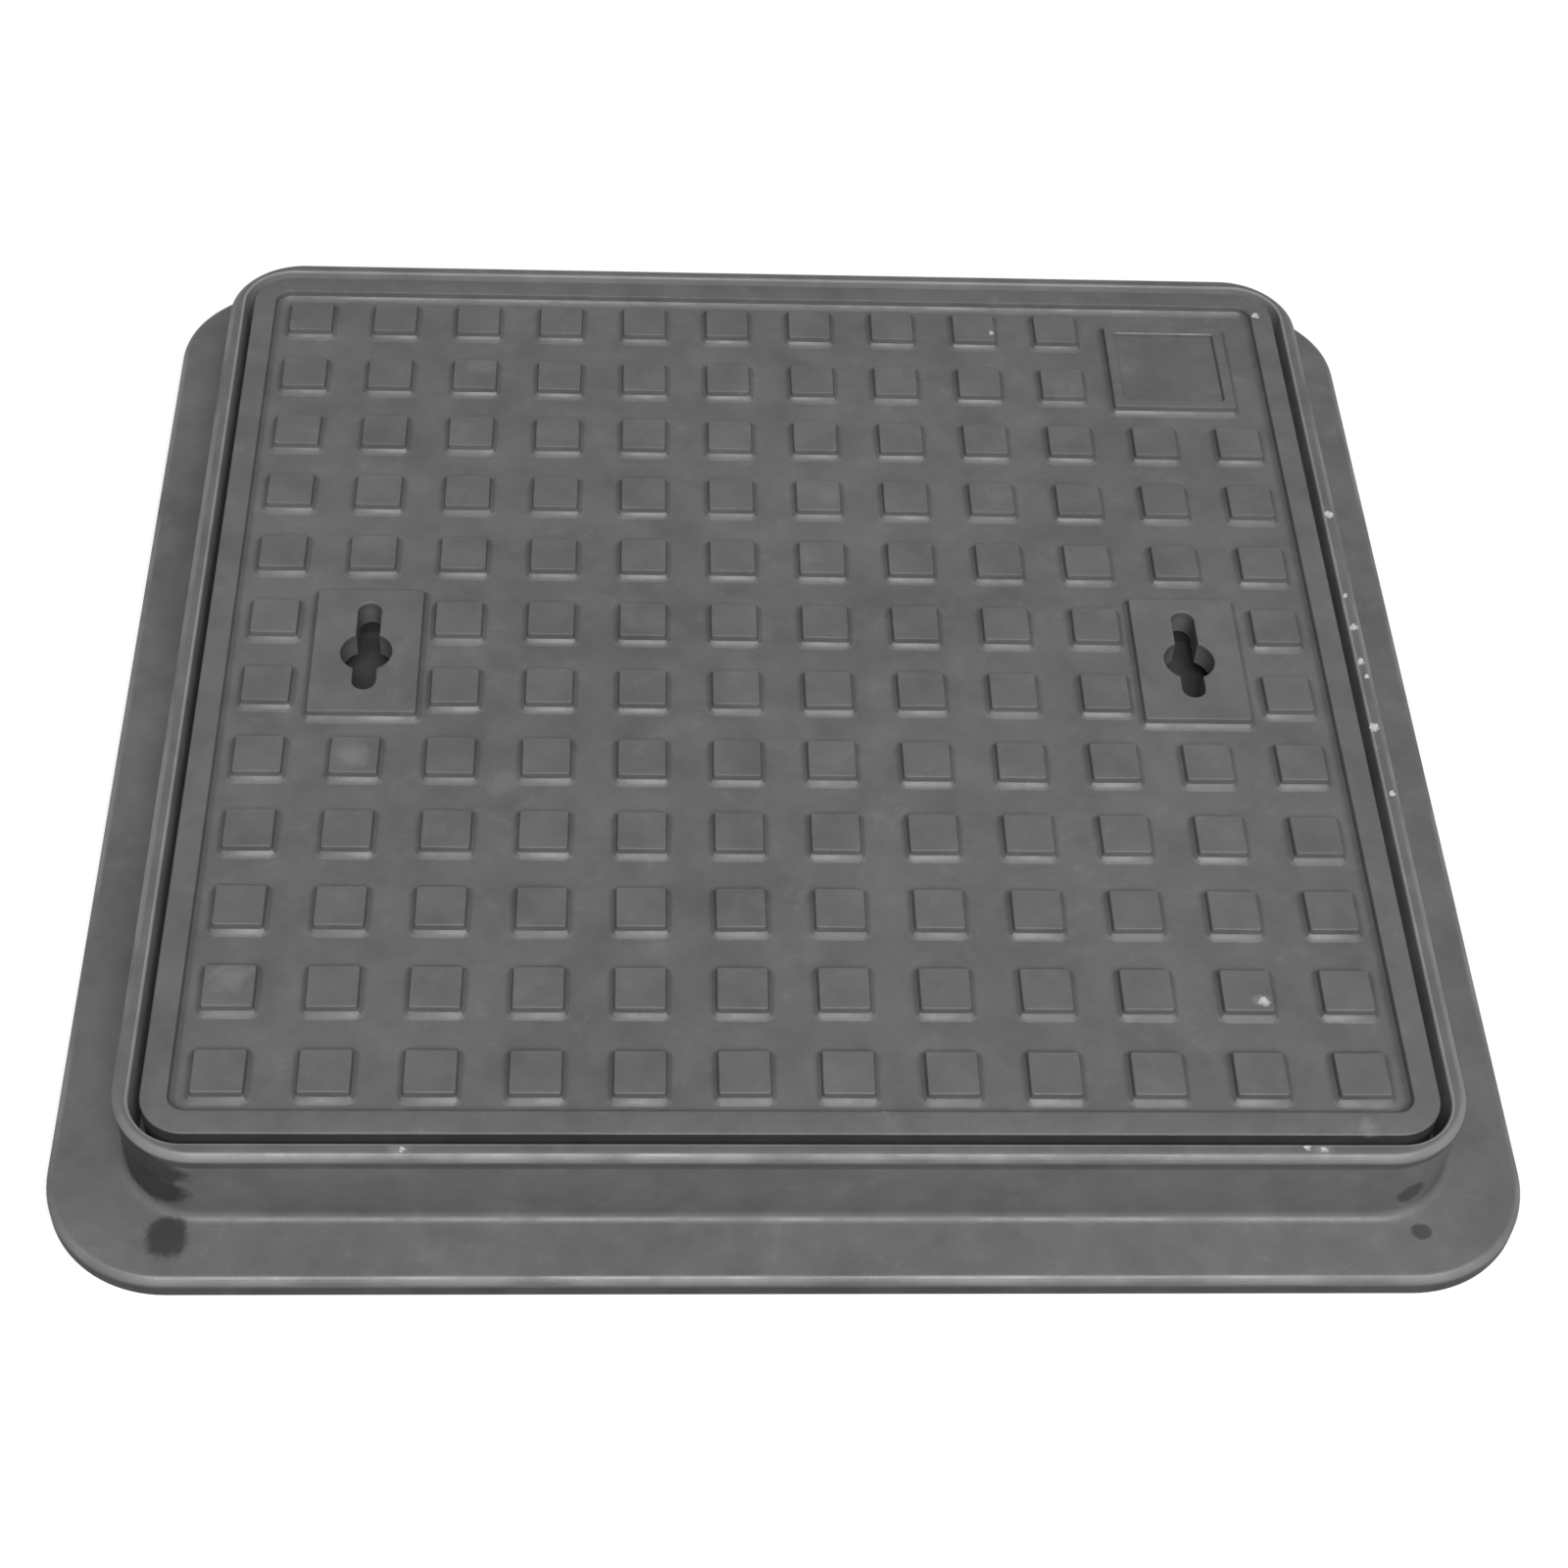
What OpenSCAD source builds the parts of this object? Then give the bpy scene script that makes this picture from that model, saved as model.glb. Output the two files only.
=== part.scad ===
// Square access cover with a studded top, resting in its frame.
// Millimetres, +Z up. The origin is the centre of the frame's underside.

/* [Frame] */
// Width of the square clear opening inside the seat
opening_w = 450; // [440:1:470]
// Corner radius of the clear opening
opening_r = 20; // [12:1:30]
// Width of the base flange outside the rim
flange_reach = 28.5; // [20:0.5:40]
// Corner radius of the base flange, seen from above
flange_r = 50; // [40:1:60]
// Thickness of the base flange
flange_t = 9.5; // [6:0.5:11]
// Radius of the rounded top edge of the flange
flange_edge_r = 3.5; // [1:0.5:4]
// Height of the frame, from the ground to the top of its rim
frame_h = 50; // [48:1:60]
// Thickness of the upstand wall at the rim
rim_t = 7; // [6:0.5:9]
// Corner radius of the rim over its outer edge, seen from above
rim_r = 34; // [28:1:38]
// Radius of the outer top edge of the rim
rim_edge_r = 3.5; // [1:0.5:3.5]
// Size of the bevel round the inner top edge of the rim
rim_bevel = 1.2; // [0.5:0.1:2]
// Height of the bead that runs round the top of the upstand
bead_h = 4; // [3.5:0.5:8]
// How far the bead stands out from the wall below it
bead_out = 0.7; // [0.3:0.1:1.5]
// How much thicker the wall grows from the bead down to its foot
wall_draft = 0.4; // [0:0.1:1]
// Radius of the fillet between the upstand and the flange
foot_fillet_r = 4; // [2:0.5:6]
// Thickness of the ledge that the cover sits on
seat_t = 7; // [5:0.5:9]
// Thickness of the lip that hangs down round the clear opening
lip_t = 6; // [4:0.5:8]
// Number of stiffening ribs under the ledge, on each side
seat_ribs = 9; // [9:1:13]
// Thickness of the stiffening ribs under the ledge
seat_rib_t = 5; // [3:0.5:8]

/* [Cover] */
// How far the cover reaches over its seat, on each side
seat_bearing = 23.5; // [20:0.5:28]
// Corner radius of the cover, seen from above
cover_r = 18; // [14:1:24]
// Gap between the cover and the upstand, all round
cover_gap = 4; // [2:0.5:5]
// Depth of the cover, from its top down to the seat
cover_depth = 30; // [28:1:36]
// Radius of the cover's outer top edge
cover_edge_r = 1.2; // [0.5:0.1:2]
// Thickness of the plate between the studs
plate_t = 8; // [6:0.5:10]
// Thickness of the skirt round the cover
skirt_t = 8; // [6:0.5:10]
// Number of cells between the ribs underneath, in each direction
rib_cells = 9; // [9:1:13]
// Thickness of a rib where it meets the plate
rib_root_t = 6; // [5:0.5:8]
// Thickness of a rib at its lower edge
rib_tip_t = 4.5; // [3:0.5:5]
// How far the ribs reach below the seat, inside the clear opening
rib_drop = 5; // [4:0.5:10]
// Clearance between the deep ribs and the clear opening
rib_clearance = 3; // [2:0.5:6]

/* [Tread] */
// Height of the studs, the border and the pads above the plate
tread_h = 4.2; // [3:0.1:6]
// Width of the raised border round the cover
border_w = 10.5; // [8:0.5:12]
// Distance between the centres of neighbouring studs
stud_pitch = 40; // [38:1:44]
// Width of the flat top of a stud
stud_w = 20; // [16:0.5:24]
// Least distance between the feet of the outer studs and the border
stud_margin = 3; // [1:0.5:4]
// How far the steep part of a raised side leans out
side_run = 0.5; // [0.2:0.1:0.8]
// Height of the sloping foot of a raised side
foot_rise = 1.7; // [1:0.1:2]
// Width of the sloping foot of a raised side
foot_run = 2.9; // [1.5:0.1:3.5]
// Size of the small bevel round each raised top
top_bevel = 0.4; // [0.2:0.1:0.6]

/* [Corner panel] */
// Width of the square panel in the corner
panel_w = 58; // [50:1:64]
// Distance from the panel to the border, on both sides
panel_inset = 16; // [12:1:20]
// Width of the raised margin round the panel's recess
panel_margin = 5; // [4:0.5:8]
// Depth of the panel's recess
panel_recess = 2; // [1:0.1:2.6]

/* [Keyholes] */
// Distance of the middle of each keyhole pad from the cover's edge
key_edge = 69.5; // [60:0.5:80]
// Width of the raised pad round a keyhole
pad_w = 46; // [40:1:48]
// Length of the raised pad round a keyhole
pad_l = 72; // [68:1:76]
// Diameter of the round part of a keyhole
key_d = 22; // [18:0.5:26]
// Width of the slot of a keyhole
slot_w = 10; // [8:0.5:12]
// Reach of the slot from the round part's centre, away from the user
slot_far = 29; // [24:0.5:30]
// Reach of the slot from the round part's centre, towards the user
slot_near = 22; // [18:0.5:26]
// Distance of the round part's centre from the middle of the pad, towards the user
key_shift = 1; // [0:0.5:3]

/* [Key cups] */
// Diameter of the room in which the key turns
cup_d = 62; // [60:1:66]
// Height of the room in which the key turns
cup_h = 9.8; // [9:0.1:11]
// Thickness of a cup's wall
cup_wall = 3; // [2:0.5:4]
// Thickness of a cup's floor
cup_floor = 3; // [2:0.5:4]
// Radial gap for the adhesive between a cup and its socket
cup_gap = 0.2; // [0.1:0.05:0.4]
// Thickness of the socket round a cup
socket_t = 4; // [3:0.5:6]

/* [Hidden] */
$fn = 72;
sink = 1; // how far a joined shape reaches into its neighbour
cut = 1; // how far a cutting shape passes the face that it opens
arc_steps = 6;
knee_run = 0.4; // share of the foot's width at which its slope changes
knee_rise = 0.45; // share of the foot's height that is left there
cover_w = opening_w + 2 * seat_bearing;
field_z = frame_h - tread_h;
plate_z = field_z - plate_t;
seat_z = frame_h - cover_depth;
rib_z = seat_z - rib_drop;
pocket_half = cover_w / 2 + cover_gap;
pocket_r = cover_r + cover_gap;
rim_half = pocket_half + rim_t;
flange_half = rim_half + flange_reach;
cover_c = cover_w / 2 - cover_r;
key_x = cover_w / 2 - key_edge;
side_w = side_run + foot_run;
inner_half = cover_w / 2 - border_w;
studs = floor((2 * (inner_half - side_w - stud_margin) - stud_w) / stud_pitch) + 1;
panel_x = inner_half - panel_inset - panel_w / 2;
skirt_half = cover_w / 2 - skirt_t;
deep_half = opening_w / 2 - rib_clearance;
socket_d = cup_d + 2 * (cup_wall + cup_gap);
grey = [0.33, 0.33, 0.33];
dark_grey = [0.24, 0.24, 0.24];

// Points of an arc about [x, z], from angle a to angle b
function arc(x, z, r, a, b) =
    [for (i = [0:arc_steps]) let (t = a + (b - a) * i / arc_steps) [x + r * cos(t), z + r * sin(t)]];

// One raised side, from its top edge at x = 0 outwards to its foot on the plate
function raised_side() = [
    [-top_bevel, frame_h],
    [0, frame_h - top_bevel],
    [side_run, field_z + foot_rise],
    [side_run + knee_run * foot_run, field_z + knee_rise * foot_rise],
    [side_w, field_z],
    [side_w, field_z - sink]
];

// The same section as raised_side, on both sides of a top of width w
function raised_section(w) = concat(
    [for (p = raised_side()) [w / 2 + p[0], p[1]]],
    [for (i = [len(raised_side()) - 1:-1:0]) [-w / 2 - raised_side()[i][0], raised_side()[i][1]]]
);

// Section of the base flange, from the line through its corner centres outwards
function flange_section() = concat(
    [[0, 0], [flange_r, 0]],
    arc(flange_r - flange_edge_r, flange_t - flange_edge_r, flange_edge_r, 0, 90),
    [[0, flange_t]]
);

// Section of the upstand: rounded rim, bead, drafted wall and foot fillet
function upstand_section() =
    let (wall_top = rim_r - bead_out, wall_foot = wall_top + wall_draft)
    concat(
        [[0, 0], [0, frame_h]],
        arc(rim_r - rim_edge_r, frame_h - rim_edge_r, rim_edge_r, 90, 0),
        [[rim_r, frame_h - bead_h], [wall_top, frame_h - bead_h - bead_out]],
        arc(wall_foot + foot_fillet_r, flange_t + foot_fillet_r, foot_fillet_r, 180, 270),
        [[wall_foot + foot_fillet_r, 0]]
    );

// Section of the pocket that the cover drops into, with the bevel at its mouth
function pocket_section() = [
    [0, -cut],
    [pocket_r, -cut],
    [pocket_r, frame_h - rim_bevel],
    [pocket_r + rim_bevel + cut, frame_h + cut],
    [0, frame_h + cut]
];

// Section of the cover's edge: skirt, rounded outer edge and raised border
function border_section() = concat(
    [[cover_r - skirt_t, seat_z], [cover_r, seat_z]],
    arc(cover_r - cover_edge_r, frame_h - cover_edge_r, cover_edge_r, 0, 90),
    [for (p = raised_side()) [cover_r - border_w - p[0], p[1]]],
    [[cover_r - skirt_t, field_z - sink]]
);

// A section carried round a square with corner centres at c, with round corners
module swept_ring(c, section) {
    for (a = [0:90:270])
        rotate(a) translate([c, c, 0]) {
            rotate_extrude(angle = 90) polygon(section);
            rotate([90, 0, 0]) linear_extrude(2 * c) polygon(section);
        }
}

// A solid slab with the same outline, filled between the heights z0 and z1
module swept_slab(c, section, z0, z1) {
    swept_ring(c, section);
    translate([-c, -c, z0]) cube([2 * c, 2 * c, z1 - z0]);
}

// A square block with plain upright sides and round corners
module round_block(half, r, z0, z1) {
    swept_slab(half - r, [[0, z0], [r, z0], [r, z1], [0, z1]], z0, z1);
}

// A raised block on the plate with steep sides and sloping feet
module raised_block(w, l) {
    intersection() {
        translate([0, l, 0]) rotate([90, 0, 0]) linear_extrude(2 * l) polygon(raised_section(w));
        translate([-w, 0, 0]) rotate([90, 0, 90]) linear_extrude(2 * w) polygon(raised_section(l));
    }
}

// True where a stud's top would run into a raised block of size w by l at [x, y]
function blocked(sx, sy, x, y, w, l) =
    abs(sx - x) < (w + stud_w) / 2 + side_w / 2 && abs(sy - y) < (l + stud_w) / 2 + side_w / 2;

function stud_at(i) = (i - (studs - 1) / 2) * stud_pitch;

function free(x, y) =
    !blocked(x, y, -key_x, 0, pad_w, pad_l)
    && !blocked(x, y, key_x, 0, pad_w, pad_l)
    && !blocked(x, y, panel_x, panel_x, panel_w, panel_w);

module stud_field() {
    for (i = [0:studs - 1], j = [0:studs - 1])
        if (free(stud_at(i), stud_at(j)))
            translate([stud_at(i), stud_at(j), 0]) raised_block(stud_w, stud_w);
}

module corner_panel() {
    recess_w = panel_w - 2 * panel_margin;
    translate([panel_x, panel_x, 0]) difference() {
        raised_block(panel_w, panel_w);
        translate([-recess_w / 2, -recess_w / 2, frame_h - panel_recess])
            cube([recess_w, recess_w, panel_recess + cut]);
    }
}

// The ribs of one direction: drafted bars, cut to the outline that clears the seat
module ribs_along_x() {
    pitch = 2 * skirt_half / rib_cells;
    reach = skirt_half + sink;
    intersection() {
        translate([0, reach, 0]) rotate([90, 0, 0]) linear_extrude(2 * reach) polygon([
            [-reach, plate_z + sink], [-reach, seat_z], [-deep_half, seat_z],
            [-deep_half + rib_drop / 2, rib_z], [deep_half - rib_drop / 2, rib_z],
            [deep_half, seat_z], [reach, seat_z], [reach, plate_z + sink]
        ]);
        for (i = [1:rib_cells - 1])
            translate([-reach - cut, i * pitch - skirt_half, 0])
                rotate([90, 0, 90]) linear_extrude(2 * (reach + cut)) polygon([
                    [-rib_root_t / 2, plate_z + sink + cut], [-rib_tip_t / 2, rib_z - cut],
                    [rib_tip_t / 2, rib_z - cut], [rib_root_t / 2, plate_z + sink + cut]
                ]);
    }
}

module keyhole() {
    depth = plate_t + tread_h + 2 * cut;
    translate([0, -key_shift, plate_z - cut]) {
        cylinder(h = depth, d = key_d);
        translate([-slot_w / 2, slot_w / 2 - slot_near, 0])
            cube([slot_w, slot_near + slot_far - slot_w, depth]);
        for (y = [slot_far - slot_w / 2, slot_w / 2 - slot_near])
            translate([0, y, 0]) cylinder(h = depth, d = slot_w);
    }
}

module cover() {
    cup_z = plate_z - cup_h - cup_floor;
    color(grey) difference() {
        union() {
            swept_ring(cover_c, border_section());
            round_block(skirt_half + sink, cover_r - skirt_t + sink, plate_z, field_z);
            stud_field();
            corner_panel();
            ribs_along_x();
            rotate(90) ribs_along_x();
            for (x = [-key_x, key_x]) translate([x, 0, 0]) {
                raised_block(pad_w, pad_l);
                translate([0, 0, cup_z])
                    cylinder(h = plate_z - cup_z + sink, d = socket_d + 2 * socket_t);
            }
        }
        for (x = [-key_x, key_x]) translate([x, 0, 0]) {
            keyhole();
            translate([0, 0, rib_z - cut]) cylinder(h = plate_z - rib_z + cut, d = socket_d);
        }
    }
}

module key_cup(x) {
    color(dark_grey) translate([x, 0, plate_z - cup_h - cup_floor]) difference() {
        cylinder(h = cup_h + cup_floor, d = cup_d + 2 * cup_wall);
        translate([0, 0, cup_floor]) cylinder(h = cup_h + cut, d = cup_d);
    }
}

module frame() {
    lip_mid = opening_w / 2 + lip_t / 2;
    color(grey) union() {
        difference() {
            union() {
                swept_slab(flange_half - flange_r, flange_section(), 0, flange_t);
                swept_slab(rim_half - rim_r, upstand_section(), 0, frame_h);
            }
            swept_slab(cover_c, pocket_section(), -cut, frame_h + cut);
        }
        difference() {
            union() {
                round_block(pocket_half + sink, pocket_r + sink, seat_z - seat_t, seat_z);
                round_block(opening_w / 2 + lip_t, opening_r + lip_t, 0, seat_z);
            }
            round_block(opening_w / 2, opening_r, -cut, seat_z + cut);
        }
        for (a = [0:90:270], i = [0:seat_ribs - 1])
            rotate(a)
                translate([lip_mid, (2 * i / (seat_ribs - 1) - 1) * lip_mid - seat_rib_t / 2, 0])
                    cube([pocket_half + sink - lip_mid, seat_rib_t, seat_z - sink]);
    }
}

frame();
cover();
key_cup(-key_x);  // key_cup_left
key_cup(key_x);  // key_cup_right
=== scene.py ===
# %% [markdown]
# A square access cover lies in its frame. Both are moulded from a grey glass-filled
# composite: the cover has a tread of square studs, two keyholes and a small panel,
# and the frame is an upstand on a flat flange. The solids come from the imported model,
# and this lesson gives them the edges, the chips and the finish of the real thing.
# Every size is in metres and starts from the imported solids, so nothing needs fitting.

# %% Load the solids and read their sizes
import random
from math import cos, radians, sin

import bmesh
import bpy
from mathutils import Matrix, Vector


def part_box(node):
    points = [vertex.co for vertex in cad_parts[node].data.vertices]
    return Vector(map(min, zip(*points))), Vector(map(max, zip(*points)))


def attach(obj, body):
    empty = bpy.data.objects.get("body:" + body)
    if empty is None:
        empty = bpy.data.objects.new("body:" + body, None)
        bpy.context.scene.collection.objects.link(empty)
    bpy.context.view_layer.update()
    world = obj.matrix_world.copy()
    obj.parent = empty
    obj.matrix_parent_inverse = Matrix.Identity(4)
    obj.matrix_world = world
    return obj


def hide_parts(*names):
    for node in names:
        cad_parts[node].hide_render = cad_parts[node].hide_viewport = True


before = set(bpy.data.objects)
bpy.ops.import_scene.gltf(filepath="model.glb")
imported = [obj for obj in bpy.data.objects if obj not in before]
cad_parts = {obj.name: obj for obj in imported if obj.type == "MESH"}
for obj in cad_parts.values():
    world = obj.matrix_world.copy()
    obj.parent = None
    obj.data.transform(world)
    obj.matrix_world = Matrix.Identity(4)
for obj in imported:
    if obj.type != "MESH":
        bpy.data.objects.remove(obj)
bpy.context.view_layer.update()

MM = 0.001
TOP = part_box("frame")[1].z
FLANGE_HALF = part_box("frame")[1].x
COVER_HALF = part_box("cover")[1].x
RIB_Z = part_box("cover")[0].z
CUP_LOW, CUP_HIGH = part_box("key_cup_right")
KEY_X = (CUP_LOW.x + CUP_HIGH.x) / 2
CUP_RADIUS = (CUP_HIGH.x - CUP_LOW.x) / 2
PLATE_Z = CUP_HIGH.z
print(f"cover {2 * COVER_HALF:.3f} m, frame {2 * FLANGE_HALF:.3f} m, top at {TOP:.3f} m")

# %% [markdown]
# The photograph is a view from in front and above. A pinhole camera is fixed by its
# place, three angles and its focal length, and those were worked out from the square
# grid of studs, whose corners are easy to find in the picture. The same numbers turn
# a pixel back into a place on the cover, which later puts each chip where it belongs.

# %% Set up the camera
PHOTO = 1600
FOCAL_PX = 2861.71
SENSOR_MM = 36.0
PITCH, YAW, ROLL = radians(49.29), radians(4.687), radians(-4.019)
EYE = Vector((-63.15, -835.27, 936.96)) * MM


def camera_axes():
    """The camera's right, up and forward directions."""
    forward = Vector((sin(YAW) * cos(PITCH), cos(YAW) * cos(PITCH), -sin(PITCH)))
    level = Vector((cos(YAW), -sin(YAW), 0.0))
    upright = Vector((sin(YAW) * sin(PITCH), cos(YAW) * sin(PITCH), cos(PITCH)))
    right = cos(ROLL) * level - sin(ROLL) * upright
    up = sin(ROLL) * level + cos(ROLL) * upright
    return right, up, forward


RIGHT, UP, FORWARD = camera_axes()


def place_of(pixel, height):
    """Where a pixel of the photograph lies on a level plane at that height."""
    across, down = pixel[0] - PHOTO / 2, pixel[1] - PHOTO / 2
    ray = FOCAL_PX * FORWARD + across * RIGHT - down * UP
    return EYE + ray * ((height - EYE.z) / ray.z)


def add_camera():
    data = bpy.data.cameras.new("camera")
    data.sensor_width = SENSOR_MM
    data.lens = FOCAL_PX / PHOTO * SENSOR_MM
    camera = bpy.data.objects.new("camera", data)
    turn = Matrix((RIGHT, UP, -FORWARD)).transposed()
    camera.matrix_world = Matrix.Translation(EYE) @ turn.to_4x4()
    bpy.context.scene.collection.objects.link(camera)
    bpy.context.scene.camera = camera
    return camera


print("lens", round(add_camera().data.lens, 2), "mm; middle pixel at", place_of((800, 800), TOP))

# %% [markdown]
# The light in the photograph comes from straight above and a little from the front: the
# level faces are mid grey, the slopes that lean towards the viewer shine, and the
# walls of the studs, which see only their dark neighbours, stay dark. One large soft
# light does this, far enough away to be even, and set a little to the right. The sky
# is weak as a light, and pale where it is seen. The floor is treated the same way: it
# glows only for the camera, so that it looks white and yet throws little light back,
# and the outside of the frame keeps the dark sides that the photograph shows.

# %% Add the light, the sky and the floor
KEY_POWER = 830.0
KEY_SIZE = (5.6, 5.6)
KEY_DISTANCE = 8.0
KEY_LEAN = radians(34)
KEY_TURN = radians(8)
SKY_LIGHT = 0.24
SKY_SEEN = 1.0
FLOOR_HALF = 4.0


def add_key_light():
    data = bpy.data.lights.new("key_light", "AREA")
    data.shape = "RECTANGLE"
    data.size, data.size_y = KEY_SIZE
    data.energy = KEY_POWER
    light = bpy.data.objects.new("key_light", data)
    aim = Vector((sin(KEY_TURN) * sin(KEY_LEAN), -cos(KEY_TURN) * sin(KEY_LEAN), cos(KEY_LEAN)))
    light.location = aim * KEY_DISTANCE
    light.rotation_euler = aim.to_track_quat("Z", "Y").to_euler()
    bpy.context.scene.collection.objects.link(light)
    return light


def add_sky():
    world = bpy.data.worlds.new("sky")
    world.use_nodes = True
    nodes, links = world.node_tree.nodes, world.node_tree.links
    nodes.clear()
    out = nodes.new("ShaderNodeOutputWorld")
    mix = nodes.new("ShaderNodeMixShader")
    path = nodes.new("ShaderNodeLightPath")
    for index, strength in ((1, SKY_LIGHT), (2, SKY_SEEN)):
        background = nodes.new("ShaderNodeBackground")
        background.inputs["Strength"].default_value = strength
        background.inputs["Color"].default_value = (1.0, 1.0, 1.0, 1.0)
        links.new(background.outputs[0], mix.inputs[index])
    links.new(path.outputs["Is Camera Ray"], mix.inputs[0])
    links.new(mix.outputs[0], out.inputs[0])
    bpy.context.scene.world = world
    bpy.context.scene.view_settings.view_transform = "Standard"


def mesh_object(name, points, faces):
    """A plain mesh object from points and faces."""
    mesh = bpy.data.meshes.new(name)
    mesh.from_pydata([tuple(p) for p in points], [], faces)
    made = bpy.data.objects.new(name, mesh)
    bpy.context.scene.collection.objects.link(made)
    return made


def add_floor():
    corners = [(x * FLOOR_HALF, y * FLOOR_HALF, 0.0) for x, y in ((-1, -1), (1, -1), (1, 1), (-1, 1))]
    floor = mesh_object("floor", corners, [(0, 1, 2, 3)])
    return floor


add_key_light()
add_sky()
floor = add_floor()
print("light, sky and floor stand")

# %% [markdown]
# Blender describes finishes and rule-based shapes as webs of nodes. Written out link
# by link they are hard to read, so two small classes let the script say them as
# sums: a Wire is one socket, and adding or multiplying wires adds Math nodes. A Board
# is the tree that they live in, and its one method adds any other kind of node.

# %% Write node maths as sums
class Wire:
    """A socket that takes part in sums like a number."""

    def __init__(self, board, socket):
        self.board = board
        self.socket = socket

    def math(self, operation, first, second=None):
        inputs = {0: first} if second is None else {0: first, 1: second}
        return self.board.node("ShaderNodeMath", {"operation": operation}, inputs)

    def __add__(self, other):
        return self.math("ADD", self, other)

    def __sub__(self, other):
        return self.math("SUBTRACT", self, other)

    def __rsub__(self, other):
        return self.math("SUBTRACT", other, self)

    def __mul__(self, other):
        return self.math("MULTIPLY", self, other)

    def __truediv__(self, other):
        return self.math("DIVIDE", self, other)

    def __lt__(self, other):
        return self.math("LESS_THAN", self, other)

    def size(self):
        return self.math("ABSOLUTE", self)

    __radd__ = __add__
    __rmul__ = __mul__


class Board:
    """A node tree with one way to add any node."""

    def __init__(self, tree):
        self.tree = tree

    def node(self, kind, settings=None, inputs=None, out=0):
        made = self.tree.nodes.new(kind)
        for key, value in (settings or {}).items():
            if key == "stops":
                for stop, (place, grey) in zip(made.color_ramp.elements, value):
                    stop.position, stop.color = place, (grey, grey, grey, 1.0)
            else:
                setattr(made, key, value)
        for key, value in (inputs or {}).items():
            self.feed(made, key, value)
        named = [s for s in made.outputs if s.name == out and s.enabled] or [made.outputs[out]]
        return Wire(self, named[0])

    def feed(self, made, key, value):
        """Sets or links one input; a list links each of its wires to it."""
        named = [s for s in made.inputs if s.name == key and s.enabled] or [made.inputs[key]]
        for one in value if isinstance(value, list) else [value]:
            if isinstance(one, Wire):
                self.tree.links.new(one.socket, named[0])
            else:
                named[0].default_value = one


print("nodes can be written as sums")

# %% [markdown]
# The composite is a mineral grey with a satin skin. Up close it isn't one colour: the
# resin flows unevenly in the hot mould, so the grey is mottled over a few centimetres,
# a fine grain sits on top, and handling leaves scuffs and dull streaks that break the
# shine. All of it is noise on Object coordinates, which stays with the piece from
# every side. Two helpers do most of the work: one makes noise, and the other spreads
# a value smoothly between two limits, so that each edge of dirt or wear is soft.

# %% Make noise and soft steps
def noise(board, where, scale, detail=3.0, rough=0.5):
    return board.node(
        "ShaderNodeTexNoise",
        {},
        {"Vector": where, "Scale": scale, "Detail": detail, "Roughness": rough},
        "Fac",
    )


def ramp(board, value, low, high, start=0.0, end=1.0):
    """The value spread smoothly from start to end between low and high."""
    return board.node(
        "ShaderNodeMapRange",
        {"interpolation_type": "SMOOTHSTEP"},
        {"Value": value, "From Min": low, "From Max": high, "To Min": start, "To Max": end},
        "Result",
    )


def between(board, value, low, high, soft):
    """A mask that is 1 from low to high and fades out over a soft edge."""
    return ramp(board, value, low, low + soft) * ramp(board, value, high, high - soft)


print("noise and soft steps are ready")

# %% [markdown]
# Dirt, wear and painted shade have a place. A smear or a dark patch is a spot round a point, with an edge
# that noise makes ragged. Edges are rubbed pale where boots and tools meet them, which also paints a
# highlight along them, and painted shade lies against the outer wall of the cover in the gap, so the
# second mask measures how far a place is from a round-cornered outline. Masks could be painted by hand on
# an unwrapped mesh instead, but written as sums they follow the model at any size.

# %% Measure where dirt, wear and painted shade lie
def vector(board, operation, first, second=(0.0, 0.0, 0.0), out="Vector"):
    return board.node("ShaderNodeVectorMath", {"operation": operation}, {0: first, 1: second}, out)


def spot(board, where, place, reach, ragged, soft):
    """A mask that is 1 at a place and fades to 0 at a ragged edge, with a reach along each axis."""
    share = vector(board, "DIVIDE", vector(board, "SUBTRACT", where, tuple(place)), tuple(reach))
    far = vector(board, "LENGTH", share, out="Value")
    return ramp(board, far + (ragged - 0.5) * 2.0 * soft, 1.0, 1.0 - soft)


def past_outline(board, where, half, radius):
    """How far a place lies outside a round-cornered square; it is negative inside."""
    flat = vector(board, "ABSOLUTE", vector(board, "MULTIPLY", where, (1.0, 1.0, 0.0)))
    corner = vector(board, "SUBTRACT", flat, (half - radius, half - radius, 0.0))
    return vector(board, "LENGTH", vector(board, "MAXIMUM", corner), out="Value") - radius


print("masks for spots and edges are ready")

# %% [markdown]
# The clean skin comes first: its grey, its roughness and its relief. The relief is a
# bump of three sizes, the slow swell of a large moulding, the pores of its skin and
# the grain. The noise scales are waves to the metre, so 42 is a mottling of about
# 24 mm. The strengths were set by comparing the render with the photograph.

# %% Mix the clean skin
GREY = 0.110
ROUGHNESS = 0.42
SCALES = {
    "cloud": 9.0, "patch": 17.0, "swell": 18.0, "dull": 38.0, "mottle": 42.0,
    "uneven": 60.0, "scuff": 75.0, "ragged": 160.0, "pore": 420.0, "grain": 900.0,
}
SCUFF_GAIN = 0.016
SWELL_H, PORE_H, GRAIN_H = 0.35 * MM, 0.09 * MM, 0.03 * MM


def new_material(name):
    """A material with its board, its shader and the place of each point of the piece."""
    material = bpy.data.materials.new(name)
    material.use_nodes = True
    board = Board(material.node_tree)
    where = board.node("ShaderNodeTexCoord", out="Object")
    return material, board, material.node_tree.nodes["Principled BSDF"], where


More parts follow.
